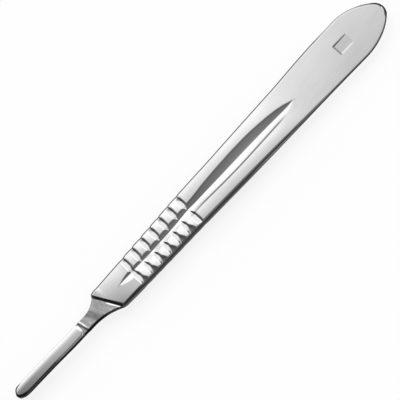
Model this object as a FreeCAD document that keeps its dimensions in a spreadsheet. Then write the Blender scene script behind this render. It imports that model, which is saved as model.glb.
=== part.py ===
import FreeCAD, Part
import math
import os
import Sketcher
from FreeCAD import Vector

# A scalpel handle, forged and ground from one piece of steel.
# X runs from the tip of the blade key to the round end, Y across, Z up from the middle of the thickness.
# The two faces are alike, but the key and the bare stamp are on the upper one only, which has deeper notches.

NODE = "handle"

# Driving dimensions, in millimetres and degrees. Places are measured along X from the key's tip.
SIZES = {
    # plan outline
    "overall_length": 135.0,
    "shoulder_width": 8.4,
    "waist_place": 82.0,
    "waist_width": 11.1,
    "belly_width": 13.7,
    "end_length": 13.2,
    "nose_radius": 4.2,
    # thickness, from the pad behind the shoulder to the thin tail
    "pad_thickness": 3.0,
    "pad_end": 41.0,
    "grip_thickness": 3.5,
    "taper_start": 76.0,
    "taper_end": 124.0,
    "tail_thickness": 1.2,
    "edge_radius": 0.35,
    # slanted shoulder that the blade's heel lies against
    "shoulder_place": 32.7,
    "shoulder_slant": 26.5,
    "shoulder_run": 0.9,
    # neck, which is the blade's seat
    "neck_width": 3.4,
    "neck_thickness": 1.8,
    "flare_start": 25.6,
    # raised key, its underside and the slots beside it that hold the blade's edges
    "key_length": 23.6,
    "key_rise": 0.75,
    "key_corner": 1.2,
    "tip_length": 2.2,
    "tip_nose_radius": 1.0,
    "tip_bevel": 0.5,
    "underside_length": 24.4,
    "underside_relief": 0.2,
    "slot_length": 13.0,
    "slot_height": 0.45,
    "slot_depth": 0.4,
    # transverse finger notches
    "notch_first": 43.3,
    "notch_pitch": 3.44,
    "notch_count": 7,
    "notch_width": 1.95,
    "notch_depth": 0.9,
    "lower_notch_depth": 0.3,
    "notch_root": 0.5,
    # bare stamp near the round end
    "stamp_place": 121.0,
    "stamp_length": 4.6,
    "stamp_width": 3.4,
    "stamp_depth": 0.12,
    # long central groove: place along X, radius of its round section, height of its floor above the middle
    "groove_rise": 0.2,
    "groove_1_place": 38.0,
    "groove_1_radius": 0.9,
    "groove_1_floor": 1.68,
    "groove_2_place": 50.0,
    "groove_2_radius": 1.2,
    "groove_2_floor": 0.8,
    "groove_3_place": 66.0,
    "groove_3_radius": 1.8,
    "groove_3_floor": 0.6,
    "groove_4_place": 82.0,
    "groove_4_radius": 3.0,
    "groove_4_floor": 0.5,
    "groove_5_place": 94.0,
    "groove_5_radius": 2.3,
    "groove_5_floor": 0.68,
    "groove_6_place": 103.0,
    "groove_6_radius": 0.9,
    "groove_6_floor": 1.02,
}
GROOVE_STATIONS = range(1, 7)

# Room that a cutting outline is given past the metal, so that no cut ends on a face.
CLEAR = 2.0

# Places and half sizes that several outlines share, as expressions of the driving dimensions.
HALF_GRIP = "(sizes.grip_thickness / 2)"
HALF_PAD = "(sizes.pad_thickness / 2)"
HALF_TAIL = "(sizes.tail_thickness / 2)"
HALF_NECK = "(sizes.neck_thickness / 2)"
HALF_NECK_WIDTH = "(sizes.neck_width / 2)"
HALF_SHOULDER = "(sizes.shoulder_width / 2)"
HALF_BELLY = "(sizes.belly_width / 2)"
KEY_TOP = f"({HALF_NECK} + sizes.key_rise)"
ABOVE = f"({HALF_GRIP} + {CLEAR})"


def fill_sheet(doc):
    """The spreadsheet: a name, a plain number and an alias in each row."""
    sheet = doc.addObject("Spreadsheet::Sheet", "sizes")
    for row, (name, value) in enumerate(SIZES.items(), start=1):
        sheet.set(f"A{row}", name.replace("_", " "))
        sheet.set(f"B{row}", str(value))
        sheet.setAlias(f"B{row}", name)
    doc.recompute()
    return sheet


def add_sketch(body, name, plane_role, offset=None):
    """An empty sketch on a plane of the body's origin, moved off it by an expression if one is given."""
    sketch = body.newObject("Sketcher::SketchObject", name)
    plane = next(f for f in body.Origin.OriginFeatures if f.Role == plane_role)
    sketch.AttachmentSupport = [(plane, "")]
    sketch.MapMode = "FlatFace"
    if offset:
        sketch.setExpression("AttachmentOffset.Base.z", offset)
    body.Document.recompute()
    return sketch


def located(sketch, corner):
    """The point that a pair of expressions gives."""
    return Vector(*[float(sketch.evalExpression(part)) for part in corner], 0)


def bind(sketch, constraint, expression):
    """Adds a measured constraint and ties it to an expression."""
    index = sketch.addConstraint(constraint)
    sketch.setExpression(f"Constraints[{index}]", expression)


def pin(sketch, geometry, end, corner):
    """Holds one end of a line or arc, or a point, at a pair of expressions."""
    point = located(sketch, corner)
    bind(sketch, Sketcher.Constraint("DistanceX", -1, 1, geometry, end, point.x), corner[0])
    bind(sketch, Sketcher.Constraint("DistanceY", -1, 1, geometry, end, point.y), corner[1])


def arc_between(start, end, radius, turn):
    """The short arc from start to end. turn is 1 where it bulges to the left of the way, and -1 to the right."""
    chord = end - start
    across = Vector(-chord.y, chord.x, 0).normalize()
    height = radius - math.sqrt(radius**2 - (chord.Length / 2) ** 2)
    return Part.Arc(start, (start + end) / 2 + across * height * turn, end)


def outline(sketch, corners, arcs=None):
    """A closed outline through corners given as pairs of expressions.

    arcs maps the number of a corner to the bend of the side that starts there: either ("radius", expression,
    turn) or ("through", corner).
    """
    arcs = arcs or {}
    points = [located(sketch, corner) for corner in corners]
    joints = []
    for i, start in enumerate(points):
        end = points[(i + 1) % len(points)]
        kind, *bend = arcs.get(i, ("straight",))
        if kind == "radius":
            radius = float(sketch.evalExpression(bend[0]))
            geometry = sketch.addGeometry(arc_between(start, end, radius, bend[1]))
            bind(sketch, Sketcher.Constraint("Radius", geometry, radius), bend[0])
        elif kind == "through":
            middle = located(sketch, bend[0])
            geometry = sketch.addGeometry(Part.Arc(start, middle, end))
            marker = sketch.addGeometry(Part.Point(middle), True)
            pin(sketch, marker, 1, bend[0])
            sketch.addConstraint(Sketcher.Constraint("PointOnObject", marker, 1, geometry))
        else:
            geometry = sketch.addGeometry(Part.LineSegment(start, end))
        forward = sketch.getPoint(geometry, 1).distanceToPoint(start) < 1e-6
        first, last = (1, 2) if forward else (2, 1)
        pin(sketch, geometry, first, corners[i])
        joints.append((geometry, first, last))
    for (geometry, _, last), (following, first, _) in zip(joints, joints[1:] + joints[:1]):
        sketch.addConstraint(Sketcher.Constraint("Coincident", geometry, last, following, first))


def mirrored(corners, arcs=None):
    """The same outline on the other side of the sketch's first axis."""
    turned = {i: (kind, bend[0], -bend[1]) for i, (kind, *bend) in (arcs or {}).items()}
    return [(place, f"-({height})") for place, height in corners], turned


def both_faces(sketch, corners, arcs=None):
    """An outline in the upper half of the sketch and its mirror image in the lower half."""
    outline(sketch, corners, arcs)
    outline(sketch, *mirrored(corners, arcs))


def cut_across(body, name, sketch, slanted=False):
    """Cuts a side profile well past both sides, square across or along the shoulder's slant."""
    cut = body.newObject("PartDesign::Pocket", name)
    cut.Profile = sketch
    cut.SideType = "Symmetric"
    cut.setExpression("Length", "sizes.belly_width * 4")
    if slanted:
        cut.UseCustomVector = True
        cut.setExpression("Direction.x", "-sin(sizes.shoulder_slant)")
        cut.setExpression("Direction.y", "cos(sizes.shoulder_slant)")
        cut.setExpression("Direction.z", "0")
    body.Document.recompute()
    return cut


def rounded_end(reach, nose, half):
    """An end of a plan outline: a nose between two flanks that leave the long sides smoothly.

    Gives the flanks' radius, and how far along and how far out each flank meets the nose.
    """
    flank = f"(({reach}^2 - 2 * {reach} * {nose} + {half}^2) / (2 * ({half} - {nose})))"
    along = f"({flank} * ({reach} - {nose}) / ({flank} - {nose}))"
    out = f"(({flank} - {half}) * {nose} / ({flank} - {nose}))"
    return flank, along, out


def tip_end():
    """The key's tip: its flanks' radius, where they meet the nose, and that corner's half width."""
    flank, along, out = rounded_end("sizes.tip_length", "sizes.tip_nose_radius", HALF_NECK_WIDTH)
    return flank, f"(sizes.tip_length - {along})", out


def add_blank(body):
    """The plan outline at the grip's full thickness: key, neck, slanted shoulder, long sides and round end."""
    reach = f"{HALF_SHOULDER} * tan(sizes.shoulder_slant)"
    top_line = "sizes.shoulder_place + sizes.shoulder_run"
    near_corner = (f"{top_line} - {reach}", HALF_SHOULDER)
    far_corner = (f"{top_line} + {reach}", f"-{HALF_SHOULDER}")
    # the flares leave the neck smoothly, so each radius follows from its length and its rise
    rise = f"({HALF_SHOULDER} - {HALF_NECK_WIDTH})"
    near_run = f"({near_corner[0]} - sizes.flare_start)"
    far_run = f"({far_corner[0]} - sizes.flare_start)"
    near_radius = f"({near_run}^2 + {rise}^2) / (2 * {rise})"
    far_radius = f"({far_run}^2 + {rise}^2) / (2 * {rise})"
    belly_place = "sizes.overall_length - sizes.end_length"
    flank, along, nose_half = rounded_end("sizes.end_length", "sizes.nose_radius", HALF_BELLY)
    nose_place = f"{belly_place} + {along}"
    tip_flank, tip_place, tip_half = tip_end()
    corners = [
        (tip_place, f"-{tip_half}"),
        ("sizes.tip_length", f"-{HALF_NECK_WIDTH}"),
        ("sizes.flare_start", f"-{HALF_NECK_WIDTH}"),
        far_corner,
        (belly_place, f"-{HALF_BELLY}"),
        (nose_place, f"-{nose_half}"),
        (nose_place, nose_half),
        (belly_place, HALF_BELLY),
        near_corner,
        ("sizes.flare_start", HALF_NECK_WIDTH),
        ("sizes.tip_length", HALF_NECK_WIDTH),
        (tip_place, tip_half),
    ]
    arcs = {
        0: ("radius", tip_flank, -1),
        2: ("radius", far_radius, 1),
        3: ("through", ("sizes.waist_place", "-sizes.waist_width / 2")),
        4: ("radius", flank, -1),
        5: ("through", ("sizes.overall_length", "0")),
        6: ("radius", flank, -1),
        7: ("through", ("sizes.waist_place", "sizes.waist_width / 2")),
        8: ("radius", near_radius, 1),
        10: ("radius", tip_flank, -1),
        11: ("through", ("0", "0")),
    }
    sketch = add_sketch(body, "plan_outline", "XY_Plane")
    outline(sketch, corners, arcs)
    pad = body.newObject("PartDesign::Pad", "blank")
    pad.Profile = sketch
    pad.SideType = "Symmetric"
    pad.setExpression("Length", "sizes.grip_thickness")
    body.Document.recompute()


def thin_the_neck(body):
    """Grinds both faces down to the neck, leaves the slanted shoulder and eases the pad behind it."""
    foot = "sizes.shoulder_place"
    edge = "sizes.shoulder_place + sizes.shoulder_run"
    slope = f"(sizes.pad_end - {edge})"
    drop = f"({HALF_GRIP} - {HALF_PAD})"
    corners = [
        (f"-{CLEAR}", HALF_NECK),
        (foot, HALF_NECK),
        (edge, HALF_PAD),
        ("sizes.pad_end", HALF_GRIP),
        ("sizes.pad_end", ABOVE),
        (f"-{CLEAR}", ABOVE),
    ]
    # the pad rises in an arc that is level where the grip begins
    arcs = {2: ("radius", f"({slope}^2 + {drop}^2) / (2 * {drop})", 1)}
    sketch = add_sketch(body, "neck_profile", "XZ_Plane")
    both_faces(sketch, corners, arcs)
    cut_across(body, "neck_grinding", sketch, slanted=True)


def thin_the_tail(body):
    """Tapers both faces from the grip to the thin round end, in two arcs that meet halfway."""
    half_run = "((sizes.taper_end - sizes.taper_start) / 2)"
    half_drop = f"(({HALF_GRIP} - {HALF_TAIL}) / 2)"
    radius = f"({half_run}^2 + {half_drop}^2) / (2 * {half_drop})"
    past = f"sizes.overall_length + {CLEAR}"
    corners = [
        ("sizes.taper_start", HALF_GRIP),
        (f"sizes.taper_start + {half_run}", f"{HALF_GRIP} - {half_drop}"),
        ("sizes.taper_end", HALF_TAIL),
        (past, HALF_TAIL),
        (past, ABOVE),
        ("sizes.taper_start", ABOVE),
    ]
    arcs = {0: ("radius", radius, 1), 1: ("radius", radius, -1)}
    sketch = add_sketch(body, "tail_profile", "XZ_Plane")
    both_faces(sketch, corners, arcs)
    cut_across(body, "tail_grinding", sketch)


def round_the_edges(body, sizes):
    """Rounds the long edges of both faces, from the shoulder round the tail and back."""
    before = body.Tip
    shape = before.Shape
    level = sizes["neck_thickness"] / 2
    names = []
    for number, edge in enumerate(shape.Edges, start=1):
        middle = edge.valueAt((edge.FirstParameter + edge.LastParameter) / 2)
        faces = shape.ancestorsOfType(edge, Part.Face)
        tilts = sorted(abs(face_normal(face, middle).z) for face in faces)
        is_rim = tilts[0] < 0.1 and tilts[-1] > 0.9
        # the shoulder's own edge has a face of the slanted wall beside it, which is neither level nor upright
        if is_rim and abs(middle.z) > level + 1e-6:
            names.append(f"Edge{number}")
    rounding = body.newObject("PartDesign::Fillet", "edge_rounding")
    rounding.Base = (before, names)
    rounding.setExpression("Radius", "sizes.edge_radius")
    body.Document.recompute()


def face_normal(face, point):
    """The face's normal nearest to a point on its edge."""
    u, v = face.Surface.parameter(point)
    return face.normalAt(u, v)


def add_key(body):
    """The raised key on the neck's upper face, with rounded corners at its rear."""
    rear = "sizes.key_length"
    corner = "sizes.key_corner"
    tip_flank, tip_place, tip_half = tip_end()
    corners = [
        (tip_place, f"-{tip_half}"),
        ("sizes.tip_length", f"-{HALF_NECK_WIDTH}"),
        (f"{rear} - {corner}", f"-{HALF_NECK_WIDTH}"),
        (rear, f"-({HALF_NECK_WIDTH} - {corner})"),
        (rear, f"{HALF_NECK_WIDTH} - {corner}"),
        (f"{rear} - {corner}", HALF_NECK_WIDTH),
        ("sizes.tip_length", HALF_NECK_WIDTH),
        (tip_place, tip_half),
    ]
    arcs = {
        0: ("radius", tip_flank, -1),
        2: ("radius", corner, -1),
        4: ("radius", corner, -1),
        6: ("radius", tip_flank, -1),
        7: ("through", ("0", "0")),
    }
    sketch = add_sketch(body, "key_outline", "XY_Plane")
    outline(sketch, corners, arcs)
    key = body.newObject("PartDesign::Pad", "key")
    key.Profile = sketch
    key.setExpression("Length", KEY_TOP)
    body.Document.recompute()


def relieve_the_underside(body):
    """Grinds the underside of the key a little thinner than the neck."""
    floor = f"{HALF_NECK} - sizes.underside_relief"
    corners = [
        (f"-{CLEAR}", f"-({floor})"),
        (f"-{CLEAR}", f"-({HALF_NECK} + {CLEAR})"),
        ("sizes.underside_length + sizes.underside_relief", f"-({HALF_NECK} + {CLEAR})"),
        ("sizes.underside_length + sizes.underside_relief", f"-{HALF_NECK}"),
        ("sizes.underside_length", f"-({floor})"),
    ]
    sketch = add_sketch(body, "underside_profile", "XZ_Plane")
    outline(sketch, corners)
    cut_across(body, "underside_grinding", sketch)


def mill_the_slots(body):
    """The two slots beside the key that take the edges of the blade's slot, open at the tip."""
    floor = HALF_NECK
    roof = f"{HALF_NECK} + sizes.slot_height"
    core = f"{HALF_NECK_WIDTH} - sizes.slot_depth"
    past = f"{HALF_NECK_WIDTH} + {CLEAR}"
    sketch = add_sketch(body, "slot_section", "YZ_Plane", "sizes.slot_length")
    outline(sketch, [(core, floor), (past, floor), (past, roof), (core, roof)])
    outline(sketch, [(f"-({core})", floor), (f"-({core})", roof), (f"-({past})", roof), (f"-({past})", floor)])
    slots = body.newObject("PartDesign::Pocket", "blade_slots")
    slots.Profile = sketch
    slots.Type = "ThroughAll"
    body.Document.recompute()


def bevel_the_tip(body, sizes):
    """A lead-in bevel round the key's tip, on the edges of its upper face and of its underside."""
    before = body.Tip
    top = sizes["neck_thickness"] / 2 + sizes["key_rise"]
    underside = sizes["underside_relief"] - sizes["neck_thickness"] / 2
    names = []
    for number, edge in enumerate(before.Shape.Edges, start=1):
        middle = edge.valueAt((edge.FirstParameter + edge.LastParameter) / 2)
        off_level = min(abs(middle.z - top), abs(middle.z - underside))
        if off_level < 1e-6 and middle.x < sizes["tip_length"]:
            names.append(f"Edge{number}")
    bevel = body.newObject("PartDesign::Chamfer", "tip_bevel")
    bevel.Base = (before, names)
    bevel.setExpression("Size", "sizes.tip_bevel")
    body.Document.recompute()


def notch_outline(sketch, depth, sign):
    """One notch's side profile in the upper face, or in the lower one where sign is a minus."""
    place = "sizes.notch_first"
    half = "(sizes.notch_width / 2)"
    root = "sizes.notch_root"
    floor = f"({HALF_GRIP} - {depth})"
    # the root's arc ends a quarter of the way up the notch's walls
    root_end = f"({HALF_GRIP} - {depth} * 3 / 4)"
    corners = [
        (f"{place} - {half}", f"{sign}{HALF_GRIP}"),
        (f"{place} - {root}", f"{sign}{root_end}"),
        (f"{place} + {root}", f"{sign}{root_end}"),
        (f"{place} + {half}", f"{sign}{HALF_GRIP}"),
        (f"{place} + {half}", f"{sign}{ABOVE}"),
        (f"{place} - {half}", f"{sign}{ABOVE}"),
    ]
    outline(sketch, corners, {1: ("through", (place, f"{sign}{floor}"))})


def cut_the_notches(body):
    """Round-bottomed notches right across both faces, one pair cut and then repeated along the grip."""
    sketch = add_sketch(body, "notch_profile", "XZ_Plane")
    notch_outline(sketch, "sizes.notch_depth", "")
    notch_outline(sketch, "sizes.lower_notch_depth", "-")
    notch = cut_across(body, "notch", sketch)
    row = body.newObject("PartDesign::LinearPattern", "notch_row")
    row.Originals = [notch]
    row.Direction = (next(f for f in body.Origin.OriginFeatures if f.Role == "X_Axis"), [""])
    row.Mode = "Spacing"
    row.setExpression("Offset", "sizes.notch_pitch")
    row.setExpression("Occurrences", "sizes.notch_count")
    body.Tip = row
    body.Document.recompute()


def groove_section(body, number):
    """One round section of the central groove: an arc from its floor up past the face, closed by its chord."""
    place = f"sizes.groove_{number}_place"
    radius = f"sizes.groove_{number}_radius"
    floor = f"sizes.groove_{number}_floor"
    sketch = add_sketch(body, f"groove_section_{number}", "YZ_Plane", place)
    land = f"({land_height(place, sketch)})"
    chord = f"({land} + sizes.groove_rise)"
    centre = f"({floor} + {radius})"
    half = f"sqrt({radius}^2 - ({chord} - {centre})^2)"
    outline(sketch, [(f"-{half}", chord), (half, chord)], {0: ("through", ("0", floor))})
    return sketch


def land_height(place, sketch):
    """The height of the face at a place along X, on the grip or on the taper behind it."""
    span = "(sizes.taper_end - sizes.taper_start)"
    share = f"(({place} - sizes.taper_start) / {span})"
    before_middle = f"2 * {share}^2"
    past_middle = f"(1 - 2 * (1 - {share})^2)"
    fall = f"({share} < 0 ? 0 : ({share} < 0.5 ? {before_middle} : {past_middle}))"
    return f"{HALF_GRIP} - ({HALF_GRIP} - {HALF_TAIL}) * {fall}"


def sink_the_groove(body):
    """The long leaf-shaped groove, lofted through its sections on the upper face and mirrored to the lower."""
    sections = [groove_section(body, number) for number in GROOVE_STATIONS]
    groove = body.newObject("PartDesign::SubtractiveLoft", "groove")
    groove.Profile = sections[0]
    groove.Sections = sections[1:]
    body.Document.recompute()
    other = body.newObject("PartDesign::Mirrored", "groove_below")
    other.Originals = [groove]
    other.MirrorPlane = (next(f for f in body.Origin.OriginFeatures if f.Role == "XY_Plane"), [""])
    body.Tip = other
    body.Document.recompute()


def press_the_stamp(body):
    """A shallow bare rectangle in the upper face near the round end."""
    near = "sizes.stamp_place - sizes.stamp_length / 2"
    far = "sizes.stamp_place + sizes.stamp_length / 2"
    half = "sizes.stamp_width / 2"
    sketch = add_sketch(body, "stamp_outline", "XY_Plane", f"{HALF_TAIL} - sizes.stamp_depth")
    outline(sketch, [(near, f"-{half}"), (far, f"-{half}"), (far, half), (near, half)])
    stamp = body.newObject("PartDesign::Pocket", "stamp")
    stamp.Profile = sketch
    stamp.Reversed = True
    stamp.Type = "ThroughAll"
    body.Document.recompute()


def check(doc, body):
    """Stops before anything is written if a feature failed or the solid isn't sound."""
    for item in doc.Objects:
        if "Invalid" in item.State or "Error" in item.State:
            raise RuntimeError(f"{item.Name} failed: {item.State}")
    if body.Shape.isNull() or not body.Shape.isValid() or len(body.Shape.Solids) != 1:
        raise RuntimeError(f"{body.Label} isn't one sound solid")


def build():
    doc = FreeCAD.newDocument("scalpel_handle")
    fill_sheet(doc)
    body = doc.addObject("PartDesign::Body", NODE)
    body.Label = NODE
    steps = [
        add_blank,
        thin_the_neck,
        thin_the_tail,
        lambda b: round_the_edges(b, SIZES),
        add_key,
        relieve_the_underside,
        lambda b: bevel_the_tip(b, SIZES),
        mill_the_slots,
        cut_the_notches,
        sink_the_groove,
        press_the_stamp,
    ]
    for step in steps:
        step(body)
        shape = body.Shape
        print(body.Tip.Name, "volume", round(shape.Volume, 2), "faces", len(shape.Faces), shape.isValid())
    # the handle lies on its lower face: the origin is under the middle of its length
    body.setExpression("Placement.Base.x", "-sizes.overall_length / 2")
    body.setExpression("Placement.Base.z", HALF_GRIP)
    doc.recompute()
    check(doc, body)
    os.makedirs("parts", exist_ok=True)
    body.Shape.exportStep(f"parts/{NODE}.step")
    box = body.Shape.BoundBox
    print("size", round(box.XLength, 3), round(box.YLength, 3), round(box.ZLength, 3))


build()
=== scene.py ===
import math

import bmesh
import bpy
import numpy as np
from mathutils import Matrix, Vector


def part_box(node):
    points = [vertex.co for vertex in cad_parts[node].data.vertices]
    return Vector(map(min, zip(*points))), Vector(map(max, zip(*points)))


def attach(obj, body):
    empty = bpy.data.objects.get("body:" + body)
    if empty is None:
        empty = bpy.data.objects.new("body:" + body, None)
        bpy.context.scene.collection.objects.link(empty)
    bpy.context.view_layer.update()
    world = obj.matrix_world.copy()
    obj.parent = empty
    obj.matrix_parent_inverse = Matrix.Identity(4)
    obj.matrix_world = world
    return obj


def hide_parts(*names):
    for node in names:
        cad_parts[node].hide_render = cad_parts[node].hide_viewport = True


# A satin polished scalpel handle on a white table, seen from above and a little from its lower side.
# Shapes are worked out in millimetres: x from the key's tip to the round end, y across, z up from the middle
# of the thickness. They are turned into the frame's metres when the mesh is made.
# A curve is given as its places and its values there. A window is given as the four places where it starts
# to rise, is full, starts to fall and has ended.

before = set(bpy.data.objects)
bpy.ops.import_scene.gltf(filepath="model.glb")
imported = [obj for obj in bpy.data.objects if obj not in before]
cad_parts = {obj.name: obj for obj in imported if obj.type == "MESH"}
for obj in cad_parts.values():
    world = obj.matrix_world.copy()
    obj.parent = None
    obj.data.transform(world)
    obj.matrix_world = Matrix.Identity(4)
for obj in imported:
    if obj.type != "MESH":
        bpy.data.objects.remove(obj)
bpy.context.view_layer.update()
low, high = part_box("handle")

MM = 0.001
LENGTH = (high.x - low.x) / MM
HALF_BELLY = (high.y - low.y) / MM / 2
HALF_GRIP = (high.z - low.z) / MM / 2

# half thicknesses, and where they change
HALF_PAD, HALF_NECK, HALF_TAIL = 1.58, 0.9, 0.6
PAD_END, PAD_RISE_POWER = 41.0, 2.2
TAPER_START, TAPER_END = 76.0, 124.0

# plan outline
HALF_SHOULDER, HALF_NECK_WIDTH = 4.2, 1.7
UPPER_CORNER_SHIFT, LOWER_CORNER_SHIFT = 0.8, 0.1
WAIST_PLACE, HALF_WAIST = 82.0, 5.55
FLARE_START = 26.2
END_LENGTH, NOSE_RADIUS = 12.0, 3.4
BELLY_PLACE = LENGTH - END_LENGTH
TIP_LENGTH, TIP_NOSE_RADIUS = 2.2, 1.0

# how much the outline swells on its upper side: beside the front of the groove and before the tail
SWELL = 0.28
FRONT_SWELL, REAR_SWELL = (30.8, 32.2, 60.0, 80.0), (98.0, 112.0, 117.0, 121.5)

# how far the middle line strays to one side along the handle
SWAY = ((0, 1, 12, 21, 34, 50, 68, 124, 128, 131, 134, 135),
        (-0.1, 0.15, 0, -0.28, -0.28, -0.18, 0, 0, -0.08, -0.25, -0.42, -0.45))

# slanted shoulder, whose wall is longer towards the lower side, and the relief cut along its foot
SHOULDER_PLACE = 32.7
SHOULDER_RUN, SHOULDER_SPREAD = 0.72, 0.07
SLANT_ANGLE = math.radians(26.5)
SLANT = math.tan(SLANT_ANGLE)
RELIEF_DEPTH = 0.03
RELIEF = tuple(SHOULDER_PLACE + shift for shift in (-0.5, -0.1, -0.06, 0.12))
RELIEF_TOP, RELIEF_FULL, RELIEF_HIGHLIGHT_REACH = 1.0, -1.5, 0.45

# raised key with its slots, and the small ridge behind it
KEY_TOP, KEY_REAR, KEY_CORNER = 1.65, 23.6, 1.2
KEY_CORNER_LIMIT = 0.985 * KEY_CORNER
KEY_ROUNDING, KEY_LEFT_ROUNDING = 0.2, 0.6
KEY_DROOP, KEY_DROOP_LENGTH = 0.3, 20.0
KEY_FALL, KEY_FALL_LENGTH = 0.35, 1.0
KEY_CROWN_PLACE, KEY_CROWN, KEY_LEFT_CROWN = -0.1, 26.0, 10.0
TIP_BEVEL, TIP_BEVEL_DROP, BOTTOM_BEVEL = 0.55, 0.7, 0.4
BEVEL_END, BEVEL_FULL = 3.4, 1.6
SLOT_END = 13.0
SLOT_SILL, SLOT_FLOOR, SLOT_ROOF = 0.55, 0.9, 1.35
SLOT_CORE = 1.3
UNDERSIDE_END, UNDERSIDE_STEP, UNDERSIDE_HALF = 24.4, 0.2, 0.7
RIDGE_PLACE, RIDGE_HEIGHT, RIDGE_WIDTH, RIDGE_SLANT = 24.45, 0.16, 0.2, 0.25
RIDGE_HIGHLIGHT_REACH = 0.4

# finger notches: each has a long flank towards the key and a steep one behind its valley
NOTCH_FIRST, NOTCH_PITCH, NOTCH_COUNT = 43.5, 3.44, 7
NOTCH_LAST = NOTCH_FIRST + (NOTCH_COUNT - 1) * NOTCH_PITCH
NOTCH_DEPTH, LOWER_NOTCH_DEPTH = 0.64, 0.2
LONG_FLANK, STEEP_FLANK = 1.3, 0.64
VALLEY_ROUNDING, VALLEY_RISE, FLANK_REACH = 0.1, 0.905, 1.6
NOTCH_EDGE_BLEND = 0.06

# the notches grow shallow near the upper edge and draw together into fans near the lower edge
SHALLOW_START, SHALLOW_END, SHALLOW_SHARE = 3.0, 5.2, 0.65
FAN_START, FAN_END = -2.6, -5.3
FAN_SHORTENING, FAN_SPREAD = 0.2, 1.1

# how far the valleys stray towards the key: on the groove's upper wall, on its lower wall and in the fans
UPPER_STRAY, LOWER_STRAY, FAN_STRAY = 0.45, 0.2, 0.95
UPPER_STRAY_WINDOW, LOWER_STRAY_WINDOW = (-0.4, 0.2, 0.4, 1.9), (-2.2, -1.2, -0.4, 0.2)

# ribs between the notches
RIB_PEAK, RIB_TILT, RIB_CROWN, RIB_LENGTH = 0.66, 0.03, 40.0, 2.0

# central groove: its left edge, lowest line and right edge across the handle, and its depth
GROOVE_START, GROOVE_STOP = 37.6, 102.6
GROOVE_LEFT = (
    (30, 37.6, 41.4, 45.2, 48.4, 51.5, 54.8, 58.3, 61.6, 66.6,
     71.7, 76.7, 81.8, 86.8, 91.9, 96.9, 99.4, 102.6, 112),
    (0.8, 0.1, 0.66, 0.75, 0.9, 1.0, 1.1, 1.32, 1.42, 1.55,
     2.0, 2.21, 2.33, 2.27, 1.9, 1.22, 0.61, -0.4, 1.75))
GROOVE_MIDDLE = (
    (37.6, 55, 58.3, 62, 64, 66.6, 71.7, 76.7, 86.8, 92, 97, 100, 106),
    (0, 0, 0.06, 0.2, 0.27, 0.13, 0.06, -0.02, -0.1, -0.19, -0.36, -0.47, 0))
GROOVE_RIGHT = (
    (30, 37.6, 39, 41.4, 48, 55, 62, 66.6, 71.7,
     76.7, 81.8, 86.8, 91.9, 96.9, 99.4, 102.6, 112),
    (-0.8, -0.1, -0.7, -1.5, -1.7, -1.75, -1.72, -1.7, -1.92,
     -2.13, -2.22, -2.15, -2.03, -1.85, -1.6, -0.6, -1.75))
GROOVE_DEPTH = (
    (37.6, 41, 45, 48, 52, 58, 62, 70, 82, 88, 92, 97, 99.5, 102.6),
    (0.0, 0.25, 0.55, 0.75, 0.82, 0.82, 0.78, 0.7, 0.7, 0.7, 0.66, 0.5, 0.3, 0.0))
LEFT_SLOPE_SHARE, RIGHT_SLOPE_SHARE, RIB_SLOPE_SHARE = 0.78, 0.62, 0.74
RIBS_END, RIBS_GONE = 60.0, 68.0
NARROWEST_WALL, WALL_REACH = 0.05, 1.15
STEEPEST_SLOPE, LEAST_BEND, LARGEST_SINE = 1.4, 0.01, 0.999
GROOVE_EDGE_BLEND = 0.02
LIP_HEIGHT, LIP_WIDTH, LIP = 0.03, 0.3, (60.0, 66.0, 95.0, 99.0)

# a height above everything, where a cut doesn't reach
CLEAR = HALF_GRIP + 2

# crowns of the two bands beside the groove, of the pad and of the tail: the level line and the radius across
LEFT_LEVEL, LEFT_CROWN = 2.4, 38.0
RIGHT_LEVEL, RIGHT_CROWN = -3.9, 30.0
PAD_LEVEL, PAD_CROWN = -0.6, 60.0
TAIL_CROWN = 400.0
TAIL_CROWN_START, TAIL_CROWN_FULL = 90.0, 102.0
PAD_CROWN_RISE, PAD_CROWN_FALL = 1.5, 6.0
PAD_FLAT_START, PAD_FLAT_END, PAD_FLAT_SHARE = 34.5, 40.5, 0.85

# bare stamp, with steep front and upper walls and soft ones elsewhere
STAMP_PLACE, STAMP_LENGTH, STAMP_WIDTH, STAMP_DEPTH = 121.0, 4.6, 3.4, 0.12
STAMP_FRONT, STAMP_REAR = STAMP_PLACE - STAMP_LENGTH / 2, STAMP_PLACE + STAMP_LENGTH / 2
STAMP_FRONT_WALL, STAMP_UPPER_WALL, STAMP_LOWER_WALL, STAMP_FLOOR_POWER = 0.12, 0.15, 0.4, 0.7

# radii of the long edges
LEFT_ROUNDING, RIGHT_ROUNDING, BOTTOM_ROUNDING, NECK_ROUNDING = 0.75, 0.16, 0.35, 0.12
END_ROUNDING, END_ROUNDING_START, END_ROUNDING_FULL = 0.35, LENGTH - 2.2, LENGTH - 0.8

# rows of points round the handle
LAND_ROWS, LEFT_WALL_ROWS, RIGHT_WALL_ROWS = 22, 12, 14
LOWER_LAND_ROWS, LOWER_WALL_ROWS = 8, 6
TOP_RIM, WALL, BOTTOM_RIM = 6, 5, 3
UPPER_ROWS = 2 * LAND_ROWS + LEFT_WALL_ROWS + RIGHT_WALL_ROWS + 1
LOWER_ROWS = 2 * LOWER_LAND_ROWS + 2 * LOWER_WALL_ROWS + 1
EDGE_CROWDING = 1.5

# loops on the two rounded ends, rounds of the search for the outline, and how the mesh is joined
TIP_LOOPS, END_LOOPS = 20, 46
OUTLINE_ROUNDS = 30
JOIN_DISTANCE = 1e-7
SHARP_ANGLE = math.radians(38)

# where the loops lean with the shoulder and bow with the key's rear, and how far in from both ends the
# rows follow the outline's own direction
LEAN = (23.9, 30.5, 35.5, PAD_END)
BOW = (19.0, KEY_REAR, KEY_REAR, 25.5)
TIP_REACH, END_REACH = 3.0, 4.0
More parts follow.
